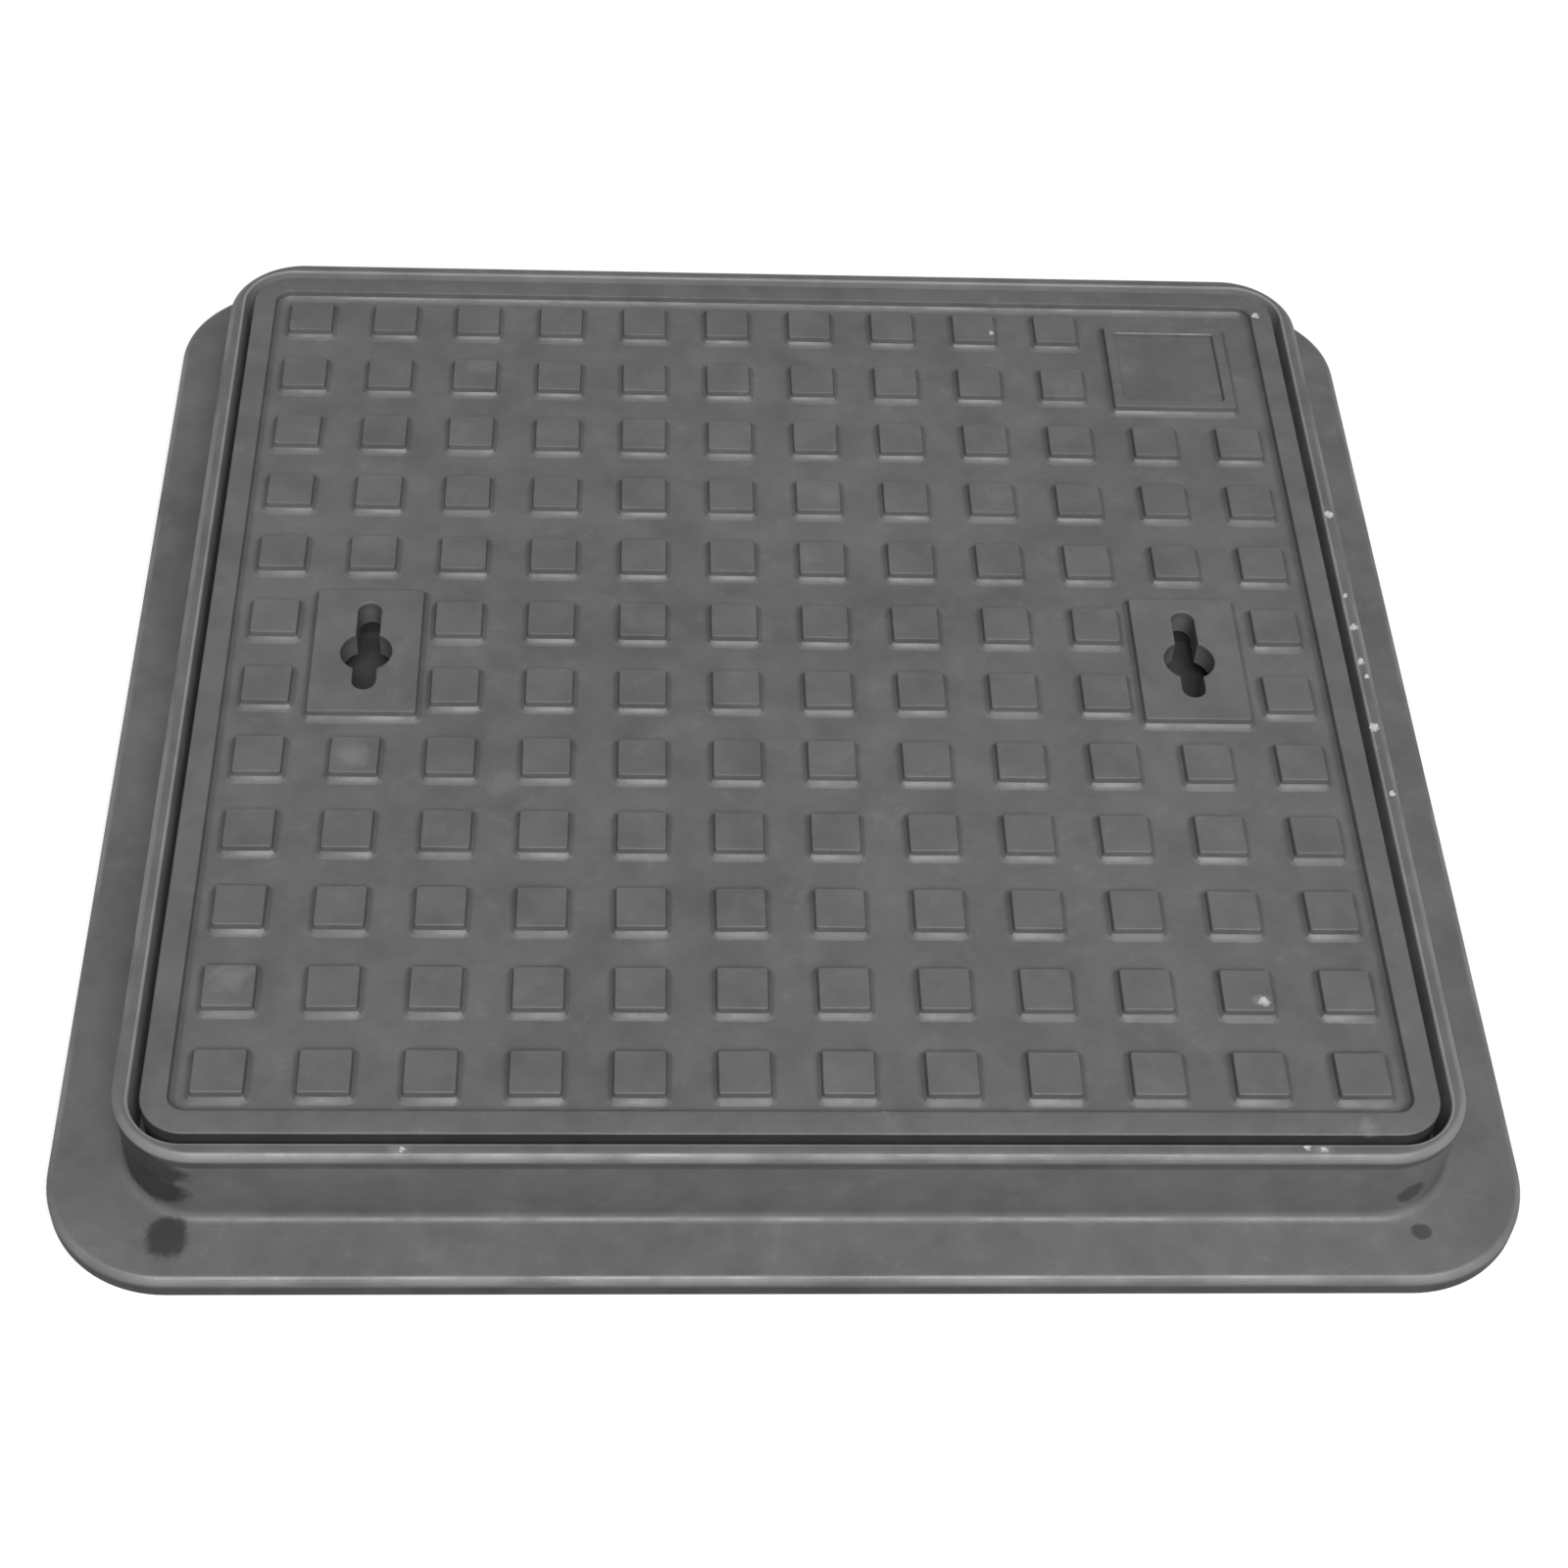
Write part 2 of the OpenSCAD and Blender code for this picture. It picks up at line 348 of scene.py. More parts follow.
def clean_skin(board, where, grey, roughness):
    """The grey, the roughness and the relief of the composite before any wear."""
    cloud = noise(board, where, SCALES["cloud"], 2.0)
    mottle = noise(board, where, SCALES["mottle"], 4.0, 0.62)
    grain = noise(board, where, SCALES["grain"], 2.0)
    scuff = ramp(board, noise(board, where, SCALES["scuff"], 5.0, 0.7), 0.54, 0.72)
    dull = ramp(board, noise(board, where, SCALES["dull"], 3.0, 0.6), 0.36, 0.66)
    swell = noise(board, where, SCALES["swell"], 1.0)
    pores = noise(board, where, SCALES["pore"], 3.0, 0.6)
    shade = grey * (0.43 + 0.3 * cloud + 0.72 * mottle + 0.08 * grain) + SCUFF_GAIN * scuff
    gloss = roughness - 0.06 + 0.16 * dull + 0.05 * grain
    relief = SWELL_H * swell + PORE_H * pores + GRAIN_H * grain
    return shade, gloss, relief


print(len(SCALES), "noises, from", SCALES["cloud"], "to", SCALES["grain"], "waves to the metre")

# %% [markdown]
# Then each kind of wear, dirt or painted shade pulls that grey towards its own. Painted shade darkens a
# band of heights, rubbing bares the paler core of an edge in patches and polishes it, which also paints a
# highlight on it, painted shade darkens the gap round the cover, dust settles on the ledge, and the spots
# come last.
# One function does it for every piece, so that they are clearly of one material.

# %% Add wear, dirt and painted shade
# Rubbed edges are paled in patches, partly as real wear and partly as a painted highlight; the polish
# lowers roughness.
RUBBED_HIGHLIGHT_GREY, RUBBED_POLISH = 0.185, 0.1
DUST_GREY = 0.22
SPOT_GREY = {"smear": 0.19, "dark_spot": 0.022}
SPOT_SOFT = {"smear": 0.8, "dark_spot": 0.35}
# Painted shade on the cover's outer edge in the gap: where it starts and where it is full, and how far
# down from the top.
GAP_SHADE_FROM, GAP_SHADE_FULL = -0.6 * MM, -0.1 * MM
GAP_SHADE_DROP = 1.0 * MM
SHADE_AND_DUST_EDGE = 0.4 * MM


def rub_and_highlight_edges(board, where, height, shade, gloss, rows):
    """Bares and polishes exposed edges in patches, paling them as wear and as a painted highlight; rows
    are (half, radius, width, top).
    """
    patchy = ramp(board, noise(board, where, SCALES["patch"], 3.0, 0.6), 0.36, 0.6, 0.15)
    for half, radius, width, top in rows:
        outer = ramp(board, past_outline(board, where, half, radius), -width, -0.5 * width)
        edge = outer * between(board, height, top - width, top + width, 0.3 * width)
        shade = shade + (RUBBED_HIGHLIGHT_GREY - shade) * edge * patchy
        gloss = gloss - RUBBED_POLISH * edge * patchy
    return shade, gloss


def composite(name, grey=GREY, roughness=ROUGHNESS, painted_shade=(), rubbed_highlit=(), gap=None, dust=None, spots=()):
    """The moulded composite, with where it is dirty or worn and where shade and highlights are painted.

    Rows of painted shade are (low, high, soft, strength) in height; rubbed edges, paled partly as a
    painted highlight, take rows as the edge function has them; the gap's painted shade is (half, radius,
    top, strength) of an outer wall; dust is (low, full, none) in height; and spots are (kind, place,
    reach, strength).
    """
    material, board, shader, where = new_material(name)
    shade, gloss, relief = clean_skin(board, where, grey, roughness)
    height = board.node("ShaderNodeSeparateXYZ", {}, {"Vector": where}, "Z")
    uneven = 0.7 + 0.6 * noise(board, where, SCALES["uneven"], 2.0)
    # painted shade: each band of heights is darkened, in uneven patches
    for low, high, soft, strength in painted_shade:
        shade = shade * (1 - strength * uneven * between(board, height, low, high, soft))
    if rubbed_highlit:
        shade, gloss = rub_and_highlight_edges(board, where, height, shade, gloss, rubbed_highlit)
    # painted shade darkens the outer wall of the cover just under its top, next to the gap
    if gap:
        half, radius, top, strength = gap
        gap_shadow = ramp(board, past_outline(board, where, half, radius), GAP_SHADE_FROM, GAP_SHADE_FULL)
        shade = shade * (1 - strength * gap_shadow * ramp(board, height, top, top - GAP_SHADE_DROP))
    if dust:
        low, full, none = dust
        settled_dust = ramp(board, height, none, full) * ramp(board, height, low, low + SHADE_AND_DUST_EDGE)
        shade = shade + (DUST_GREY - shade) * settled_dust
    ragged = noise(board, where, SCALES["ragged"], 3.0, 0.6)
    for kind, place, reach, strength in spots:
        mask = spot(board, where, place, reach, ragged, SPOT_SOFT[kind])
        shade = shade + (SPOT_GREY[kind] - shade) * mask * strength
    bump = board.node("ShaderNodeBump", {}, {"Strength": 1.0, "Distance": 1.0, "Height": relief}, "Normal")
    for key, value in {"Base Color": shade, "Roughness": gloss, "Normal": bump}.items():
        board.feed(shader, key, value)
    return material


print("the composite can be mixed, clean or worn")

# %% [markdown]
# Two surfaces aren't skin. A fresh break shows the pale, coarse inside of the composite,
# and the floor is a matt paper that glows for the camera alone. Both need little more
# than one grey and some noise, so they share a plain finish.

# %% Make the plain finishes
def plain(name, grey, roughness, mottling, scale, glow=0.0):
    """A matt surface with slight unevenness, which may glow where the camera sees it."""
    material, board, shader, where = new_material(name)
    shade = grey * (1 - mottling / 2 + mottling * noise(board, where, scale))
    board.feed(shader, "Base Color", shade)
    shader.inputs["Roughness"].default_value = roughness
    if glow:
        seen = board.node("ShaderNodeLightPath", out="Is Camera Ray")
        board.feed(shader, "Emission Color", seen * glow)
        shader.inputs["Emission Strength"].default_value = 1.0
    return material


BREAK_FINISH = plain("fresh_break", 0.4, 0.8, 0.5, 700.0)
FLOOR_FINISH = plain("floor_paint", 0.42, 0.9, 0.02, 3.0, glow=0.56)
floor.data.materials.append(FLOOR_FINISH)
print("made", BREAK_FINISH.name, "and", FLOOR_FINISH.name)

# %% [markdown]
# Some marks belong to this one cover. Each is written down as the pixel where the
# photograph shows it, the height of the surface there and its reach, and the camera
# turns the pixel back into a place. The large dark patch fills the near left corner of the
# upstand between the flange and the bead, so it takes two spots, one over the other.

# %% Place the marks and mix the cover's finish
# Each row: kind, pixel of the photograph, height and reach in mm, strength
COVER_MARKS = (
    ("smear", (360, 770), 50, (9, 9, 4), 0.5), ("smear", (1250, 893), 50, (8, 8, 4), 0.5),
    ("smear", (234, 998), 50, (12, 10, 4), 0.4), ("smear", (512, 800), 45.8, (9, 9, 4), 0.35),
    ("smear", (822, 565), 50, (9, 9, 4), 0.3), ("smear", (492, 372), 50, (9, 9, 4), 0.3),
    ("smear", (1288, 1021), 50, (5, 4, 4), 0.9), ("smear", (1395, 1150), 50, (6, 5, 4), 0.6),
    ("smear", (846, 506), 50, (7, 7, 4), 0.3),
)
# The near-black spots below darken the two near corners of the upstand and of the flange under them.
FRAME_MARKS = (
    ("dark_spot", (140, 1172), 36, (26, 29, 11), 0.9), ("dark_spot", (147, 1193), 23, (25, 28, 12), 0.9),
    ("dark_spot", (169, 1262), 9.5, (10, 11, 4), 0.85),
    ("dark_spot", (1440, 1215), 22, (7, 7, 7), 0.65), ("dark_spot", (1451, 1257), 9.5, (5, 4, 3), 0.7),
    ("smear", (1350, 1172), 50, (6, 4, 4), 0.8), ("smear", (408, 1174), 50, (5, 4, 4), 0.8),
)
# Painted shade on the steep walls of the studs, pads, panel and border, between these heights.
STUD_WALL_SHADE = (TOP - 4.0 * MM, TOP - 0.3 * MM, SHADE_AND_DUST_EDGE, 0.18)
COVER_R = 18.0 * MM
# Painted shade round the cover's outer edge, where it faces the frame across the gap.
COVER_GAP_SHADE = (COVER_HALF, COVER_R, TOP, 0.55)


def marks(rows):
    """Each mark with its place found through the camera."""
    return [
        (kind, place_of(pixel, height * MM), [far * MM for far in reach], strength)
        for kind, pixel, height, reach, strength in rows
    ]


COVER_FINISH = composite("cover_skin", painted_shade=[STUD_WALL_SHADE], gap=COVER_GAP_SHADE, spots=marks(COVER_MARKS))
RECESS_FINISH = composite("recess_skin", grey=0.104)
print(len(COVER_MARKS) + len(FRAME_MARKS), "smears and dark_spots placed")

# %% [markdown]
# Every form of this product is a section carried round a square with round corners:
# the flange, the upstand, the border, even one stud. So one function builds them all.
# It walks round the outline, and at each point sets out the section, moving outwards
# from the outline by the first number of each pair and up by the second. An open
# section is closed with a lid and a floor, and a closed one becomes a ring.

# %% Carry a section round a square
def arc(across, height, radius, start, end, steps):
    """Points of an arc about one point of the section, from angle to angle."""
    turns = [radians(start + (end - start) * i / steps) for i in range(steps + 1)]
    return [(across + radius * cos(t), height + radius * sin(t)) for t in turns]


def rounded(half_x, half_y, radius, steps):
    """For each point of a round-cornered outline: its corner's centre and its way out."""
    points = []
    for quarter, (sx, sy) in enumerate(((1, 1), (-1, 1), (-1, -1), (1, -1))):
        for step in range(steps + 1):
            turn = radians(90 * (quarter + step / steps))
            points.append((sx * (half_x - radius), sy * (half_y - radius), cos(turn), sin(turn)))
    return points


def shell(name, half_x, half_y, radius, section, steps=16, ring=False, at=(0.0, 0.0)):
    """A closed shell: the section carried round the outline, about the point at."""
    points, faces = [], []
    outline = rounded(half_x, half_y, radius, steps)
    for out, height in section:
        for cx, cy, ux, uy in outline:
            points.append((at[0] + cx + (radius + out) * ux, at[1] + cy + (radius + out) * uy, height))
    count, rows = len(outline), len(section)
    for row in range(rows if ring else rows - 1):
        low, high = row * count, (row + 1) % rows * count
        for i in range(count):
            j = (i + 1) % count
            faces.append((low + i, low + j, high + j, high + i))
    if not ring:
        faces.append(tuple(reversed(range(count))))
        faces.append(tuple(range((rows - 1) * count, rows * count)))
    made = mesh_object(name, points, faces)
    tidy(made.data)
    return made


def tidy(mesh):
    """Merges doubled points and turns every face outwards."""
    work = bmesh.new()
    work.from_mesh(mesh)
    bmesh.ops.remove_doubles(work, verts=work.verts, dist=1e-7)
    bmesh.ops.dissolve_degenerate(work, edges=work.edges, dist=1e-7)
    bmesh.ops.recalc_face_normals(work, faces=work.faces)
    work.to_mesh(mesh)
    work.free()


def slab(name, half, radius, low, high, steps=16):
    """A square block with round corners and upright sides."""
    return shell(name, half, half, radius, [(0.0, low), (0.0, high)], steps)


def round_bar(name, radius, low, high, at, steps=12):
    """An upright round bar."""
    return shell(name, radius, radius, radius, [(0.0, low), (0.0, high)], steps, at=at)


print("sections can be carried round outlines")

# %% [markdown]
# Pieces of one moulding are welded: their shells are united, and holes are cut with
# other shells. Blender's manifold solver does this exactly and fast, as long as each
# shell is closed. A shell that has been used up is thrown away.

# %% Weld shells and cut holes
def boolean(target, other, operation):
    step = target.modifiers.new(operation.lower(), "BOOLEAN")
    step.operation = operation
    step.solver = "MANIFOLD"
    step.material_mode = "TRANSFER"
    step.object = other
    return step


def settled(piece, name):
    """The piece with its modifiers worked out, as a plain mesh object."""
    bpy.context.view_layer.update()
    evaluated = piece.evaluated_get(bpy.context.evaluated_depsgraph_get())
    mesh = bpy.data.meshes.new_from_object(evaluated)
    piece.modifiers.clear()
    made = bpy.data.objects.new(name, mesh)
    bpy.context.scene.collection.objects.link(made)
    bpy.data.objects.remove(piece)
    return made


def painted(part, finish):
    """The part with one finish all over."""
    part.data.materials.clear()
    part.data.materials.append(finish)
    return part


def weld(name, base, adds=(), cuts=()):
    """Unites base with every shell of adds, then cuts every shell of cuts from it."""
    for other in adds:
        boolean(base, other, "UNION")
    for other in cuts:
        boolean(base, other, "DIFFERENCE")
    made = settled(base, name)
    for other in (*adds, *cuts):
        bpy.data.objects.remove(other)
    finishes = [slot.name if slot else "none" for slot in made.data.materials]
    print(f"{name}: {len(made.data.polygons)} faces in {finishes}")
    return made


# %% [markdown]
# A stud is a low square block: its top edge is slightly rounded, its side is steep,
# and a sloping foot runs out into the plate, so that the mould lets go and water
# runs off. The pads round the keyholes, the corner panel and the inside of the border
# have the same side. So the side is one list of points, worked out once.

# %% Draw the side that every raised part has
TREAD_H = 4.2 * MM
FIELD_Z = TOP - TREAD_H
SINK = 1.0 * MM
EDGE_R = 0.5 * MM
SIDE_RUN = 0.5 * MM
FOOT_RUN = 2.9 * MM
FOOT_RISE = 1.7 * MM
FOOT_CURVE = 1.56
SIDE_W = SIDE_RUN + FOOT_RUN


def raised_side(foot_steps=3, edge_steps=2):
    """From the foot, sunk into the plate, up to the rounded top edge."""
    foot = []
    for i in range(foot_steps + 1):
        share = i / foot_steps
        foot.append((SIDE_RUN + FOOT_RUN * (1 - share), FIELD_Z + FOOT_RISE * share**FOOT_CURVE))
    edge = arc(-EDGE_R, TOP - EDGE_R, EDGE_R, 0, 90, edge_steps)
    return [(SIDE_W, FIELD_Z - SINK)] + foot + edge


STUD_W = 20.0 * MM
STUD_CORNER = 1.0 * MM


def stud_die(name, width, length, corner, steps=2, at=(0.0, 0.0)):
    return shell(name, width / 2, length / 2, corner, raised_side(), steps, at=at)


print("a stud has", len(stud_die("probe", STUD_W, STUD_W, STUD_CORNER).data.polygons), "faces")
bpy.data.objects.remove(bpy.data.objects["probe"])

# %% [markdown]
# The studs stand on a grid of twelve by twelve, 40 mm apart, and are left out where a
# keyhole pad or the corner panel stands. That is a rule, so Geometry Nodes lay them
# out: a grid of points, a test at each point, and the stud set on those that pass.
# No two studs of a worn mould are quite alike, so each is shifted and turned a hair,
# by a fixed seed. The tree ends with real meshes and the finish.

# %% Lay out the studs with Geometry Nodes
STUD_PITCH = 40.0 * MM
BORDER_W = 10.5 * MM
STUD_MARGIN = 3.0 * MM
INNER_HALF = COVER_HALF - BORDER_W
STUDS = int((2 * (INNER_HALF - SIDE_W - STUD_MARGIN) - STUD_W) / STUD_PITCH) + 1
PAD_W, PAD_L = 46.0 * MM, 72.0 * MM
PANEL_W = 58.0 * MM
PANEL_AT = INNER_HALF - 16.0 * MM - PANEL_W / 2
STUD_SHIFT = 0.18 * MM
STUD_TURN = radians(0.5)


def new_tree(name, inputs):
    """A Geometry Nodes tree with named inputs; gives its board, its group input and its sockets."""
    tree = bpy.data.node_groups.new(name, "GeometryNodeTree")
    face = tree.interface
    face.new_socket(name="Geometry", in_out="INPUT", socket_type="NodeSocketGeometry")
    face.new_socket(name="Geometry", in_out="OUTPUT", socket_type="NodeSocketGeometry")
    for key, kind in inputs.items():
        face.new_socket(name=key, in_out="INPUT", socket_type="NodeSocket" + kind)
    board = Board(tree)
    group = tree.nodes.new("NodeGroupInput")
    given = {s.name: Wire(board, s) for s in group.outputs if s.name}
    return board, given


def end_tree(board, shape, finish):
    """Makes instances real, sets the finish and hands the result out."""
    real = board.node("GeometryNodeRealizeInstances", {}, {"Geometry": shape})
    dressed = board.node("GeometryNodeSetMaterial", {}, {"Geometry": real, "Material": finish})
    board.feed(board.tree.nodes.new("NodeGroupOutput"), "Geometry", dressed)


def run_tree(die, name, board, values):
    """Puts the tree on the die, sets its inputs and gives the settled mesh."""
    step = die.modifiers.new(name, "NODES")
    step.node_group = board.tree
    for item in board.tree.interface.items_tree:
        if item.name in values and item.in_out == "INPUT":
            step[item.identifier] = values[item.name]
    made = settled(die, name)
    print(f"{name}: {len(made.data.polygons)} faces")
    return made


print(STUDS, "studs in each direction")

# %% [markdown]
# First the field of studs. A point passes the test when a stud there would stay clear
# of both pads and of the panel, and the test is the same sum that a designer does:
# how far apart the middles are, against half of both widths.

# %% Set the studs on their grid
def near_block(board, point, middle, width, length):
    """1 where a stud at the point would run into a block at the middle."""
    room = (STUD_W + SIDE_W) / 2
    beside = (point[0] - middle[0]).size() < width / 2 + room
    before = (point[1] - middle[1]).size() < length / 2 + room
    return beside * before


def either_way(board, most, seed):
    """A random vector between minus most and most at each point."""
    least = board.node("ShaderNodeVectorMath", {"operation": "SCALE"}, {0: most, "Scale": -1.0}, "Vector")
    limits = {"Min": least, "Max": most, "Seed": seed}
    return board.node("FunctionNodeRandomValue", {"data_type": "FLOAT_VECTOR"}, limits, "Value")


def stud_field():
    board, given = new_tree(
        "stud_field",
        {"Pitch": "Float", "Studs": "Int", "Pad X": "Float", "Pad Width": "Float", "Pad Length": "Float",
         "Panel Middle": "Float", "Panel Width": "Float", "Shift": "Float", "Turn": "Float",
         "Seed": "Int", "Finish": "Material"},
    )
    count = given["Studs"]
    span = (count - 1) * given["Pitch"]
    grid = board.node(
        "GeometryNodeMeshGrid", {},
        {"Size X": span, "Size Y": span, "Vertices X": count, "Vertices Y": count}, "Mesh",
    )
    place = board.node("GeometryNodeInputPosition", out="Position")
    point = [board.node("ShaderNodeSeparateXYZ", {}, {"Vector": place}, axis) for axis in "XY"]
    pad = (given["Pad Width"], given["Pad Length"])
    panel = given["Panel Middle"]
    taken = (
        near_block(board, point, (given["Pad X"], 0.0), *pad)
        + near_block(board, point, (given["Pad X"] * -1, 0.0), *pad)
        + near_block(board, point, (panel, panel), given["Panel Width"], given["Panel Width"])
    )
    shift = board.node(
        "ShaderNodeCombineXYZ", {}, {"X": given["Shift"], "Y": given["Shift"]}, "Vector"
    )
    nudge = either_way(board, shift, given["Seed"])
    moved = board.node("GeometryNodeSetPosition", {}, {"Geometry": grid, "Offset": nudge})
    turn = board.node("ShaderNodeCombineXYZ", {}, {"Z": given["Turn"]}, "Vector")
    twist = either_way(board, turn, given["Seed"] + 1)
    studs = board.node(
        "GeometryNodeInstanceOnPoints", {},
        {"Points": moved, "Selection": taken < 0.5, "Instance": given["Geometry"], "Rotation": twist},
        "Instances",
    )
    end_tree(board, studs, given["Finish"])
    return board


die = stud_die("stud_die", STUD_W, STUD_W, STUD_CORNER)
studs = run_tree(die, "studs", stud_field(), {
    "Pitch": STUD_PITCH, "Studs": STUDS, "Pad X": KEY_X, "Pad Width": PAD_W, "Pad Length": PAD_L,
    "Panel Middle": PANEL_AT, "Panel Width": PANEL_W, "Shift": STUD_SHIFT, "Turn": STUD_TURN,
    "Seed": 7, "Finish": COVER_FINISH,
})

# %% [markdown]
# Underneath, the cover is a lattice of drafted ribs: bars in both directions that are
# thicker where they meet the plate. They reach down past the seat in the middle, and
# are cut back where they would touch it. One bar is drawn, Geometry Nodes repeat it
# across, turn a copy of the row a quarter, unite both rows, and keep only what lies
# inside the block of allowed room.

# %% Make the rib lattice underneath
SEAT_Z = TOP - 30.0 * MM
SKIRT_T = 8.0 * MM
RIB_CELLS = 9
RIB_ROOT_T, RIB_TIP_T = 6.0 * MM, 4.5 * MM
RIB_CLEARANCE = 3.0 * MM
OPENING_HALF = 225.0 * MM
SKIRT_HALF = COVER_HALF - SKIRT_T
RIB_REACH = SKIRT_HALF + SINK
RIB_DROP = SEAT_Z - RIB_Z
DEEP_HALF = OPENING_HALF - RIB_CLEARANCE
ROOM_R = 30.0 * MM


def rib_die():
    """One rib along X, a little longer and taller than the room that it is cut to."""
    long, low, high = RIB_REACH + SINK, RIB_Z - SINK, PLATE_Z + 2 * SINK
    tip, root = RIB_TIP_T / 2, RIB_ROOT_T / 2
    outline = ((-tip, low), (tip, low), (root, high), (-root, high))
    points = [(x, y, z) for x in (-long, long) for y, z in outline]
    faces = [(0, 1, 2, 3), (4, 7, 6, 5), (0, 4, 5, 1), (1, 5, 6, 2), (2, 6, 7, 3), (3, 7, 4, 0)]
    made = mesh_object("rib_die", points, faces)
    tidy(made.data)
    return made


def rib_room():
    """The block that the ribs may fill: wide above the seat, narrow inside the opening."""
    drop = DEEP_HALF - RIB_REACH
    section = [(drop - RIB_DROP / 2, RIB_Z), (drop, SEAT_Z), (0.0, SEAT_Z), (0.0, PLATE_Z + SINK)]
    return shell("rib_room", RIB_REACH, RIB_REACH, ROOM_R, section, 4)


def rib_lattice():
    board, given = new_tree(
        "rib_lattice", {"Ribs": "Int", "Pitch": "Float", "Room": "Object", "Finish": "Material"}
    )
    first = given["Pitch"] * (given["Ribs"] - 1) * -0.5
    start = board.node("ShaderNodeCombineXYZ", {}, {"Y": first}, "Vector")
    step = board.node("ShaderNodeCombineXYZ", {}, {"Y": given["Pitch"]}, "Vector")
    line = board.node(
        "GeometryNodeMeshLine", {},
        {"Count": given["Ribs"], "Start Location": start, "Offset": step}, "Mesh",
    )
    row = board.node(
        "GeometryNodeInstanceOnPoints", {}, {"Points": line, "Instance": given["Geometry"]}, "Instances"
    )
    row = board.node("GeometryNodeRealizeInstances", {}, {"Geometry": row})
    turned = board.node(
        "GeometryNodeTransform", {}, {"Geometry": row, "Rotation": (0.0, 0.0, radians(90))}
    )
    both = board.node(
        "GeometryNodeMeshBoolean", {"operation": "UNION", "solver": "MANIFOLD"},
        {"Mesh 2": [row, turned]},
    )
    room = board.node("GeometryNodeObjectInfo", {}, {"Object": given["Room"]}, "Geometry")
    kept = board.node(
        "GeometryNodeMeshBoolean", {"operation": "INTERSECT", "solver": "MANIFOLD"},
        {"Mesh 2": [both, room]},
    )
    end_tree(board, kept, given["Finish"])
    return board


room = rib_room()
ribs = run_tree(rib_die(), "ribs", rib_lattice(), {
    "Ribs": RIB_CELLS - 1, "Pitch": 2 * SKIRT_HALF / RIB_CELLS, "Room": room, "Finish": COVER_FINISH,
})
bpy.data.objects.remove(room)

# %% [markdown]
# The rest of the cover is drawn section by section: the skirt with its raised border
# as one ring, the plate, the pads and the panel, and the round sockets that hold the
# key cups. The keyholes are cut last, a round hole and a slot with a small bevel at
# the top, because a key has rubbed their edges and the mould rounds them.

# %% Draw the plate, border, pads and sockets
COVER_EDGE_R = 1.2 * MM
CORNER_STEPS = 12
CUT = 1.0 * MM
SOCKET_GAP = 0.2 * MM
SOCKET_T = 4.0 * MM
SOCKET_R = CUP_RADIUS + SOCKET_GAP
KEY_D = 22.0 * MM
SLOT_W = 10.0 * MM
SLOT_FAR, SLOT_NEAR = 29.0 * MM, 22.0 * MM
KEY_SHIFT = 1.0 * MM
KEY_BEVEL = 0.7 * MM
PANEL_MARGIN, PANEL_RECESS = 5.0 * MM, 2.0 * MM
PANEL_DRAFT = 0.25 * MM


def border():
    """The skirt and the raised border as one ring."""
    inner = [(-BORDER_W - out, height) for out, height in reversed(raised_side())]
    section = [(-SKIRT_T, SEAT_Z), (0.0, SEAT_Z)]
    section += arc(-COVER_EDGE_R, TOP - COVER_EDGE_R, COVER_EDGE_R, 0, 90, 3)
    section += inner + [(-SKIRT_T, FIELD_Z - SINK)]
    return shell("border", COVER_HALF, COVER_HALF, COVER_R, section, CORNER_STEPS, ring=True)


def bevelled(name, half_x, half_y, radius, at, steps):
    """A cutter for a hole through the plate, with a bevel at its mouth."""
    section = [
        (0.0, PLATE_Z - CUT), (0.0, TOP - KEY_BEVEL), (KEY_BEVEL * 0.35, TOP - KEY_BEVEL * 0.3),
        (KEY_BEVEL, TOP), (KEY_BEVEL + CUT, TOP + CUT),
    ]
    return shell(name, half_x, half_y, radius, section, steps, at=at)


def keyhole_cutters(x):
    hole = bevelled("key_round", KEY_D / 2, KEY_D / 2, KEY_D / 2, (x, -KEY_SHIFT), 12)
    middle = (x, (SLOT_FAR - SLOT_NEAR) / 2 - KEY_SHIFT)
    slot = bevelled("key_slot", SLOT_W / 2, (SLOT_FAR + SLOT_NEAR) / 2, SLOT_W / 2, middle, 8)
    return [hole, slot]


def panel_cutter():
    half = PANEL_W / 2 - PANEL_MARGIN
    bottom = (-PANEL_DRAFT, TOP - PANEL_RECESS)
    section = [bottom, (0.0, TOP - EDGE_R), (EDGE_R, TOP), (EDGE_R + CUT, TOP + CUT)]
    return shell("panel_cutter", half, half, STUD_CORNER, section, 2, at=(PANEL_AT, PANEL_AT))


cover_adds = [
    slab("plate", SKIRT_HALF + SINK, COVER_R - SKIRT_T + SINK, PLATE_Z, FIELD_Z, CORNER_STEPS),
    studs, ribs,
    stud_die("panel", PANEL_W, PANEL_W, STUD_CORNER, 3, (PANEL_AT, PANEL_AT)),
]
cover_cuts = [painted(panel_cutter(), RECESS_FINISH)]
CUP_BOTTOM = CUP_LOW.z
for x in (-KEY_X, KEY_X):
    cover_adds.append(stud_die("pad", PAD_W, PAD_L, STUD_CORNER, 3, (x, 0.0)))
    cover_adds.append(round_bar("socket", SOCKET_R + SOCKET_T, CUP_BOTTOM, PLATE_Z + SINK, (x, 0.0), 16))
    cover_cuts.append(round_bar("cup_seat", SOCKET_R, RIB_Z - CUT, PLATE_Z, (x, 0.0), 16))
    cover_cuts += keyhole_cutters(x)
print(len(cover_adds), "shells to weld and", len(cover_cuts), "to cut")

# %% [markdown]
# Knocks have broken small bits out of the rim and the edges, and the broken resin is
# paler than its skin. Each chip is a small rough lump that is cut away, and leaves its
# own pale finish in the pit. They sit where the photograph shows them, found through
# the camera, and Geometry Nodes set a lump with its own turn and size on each.

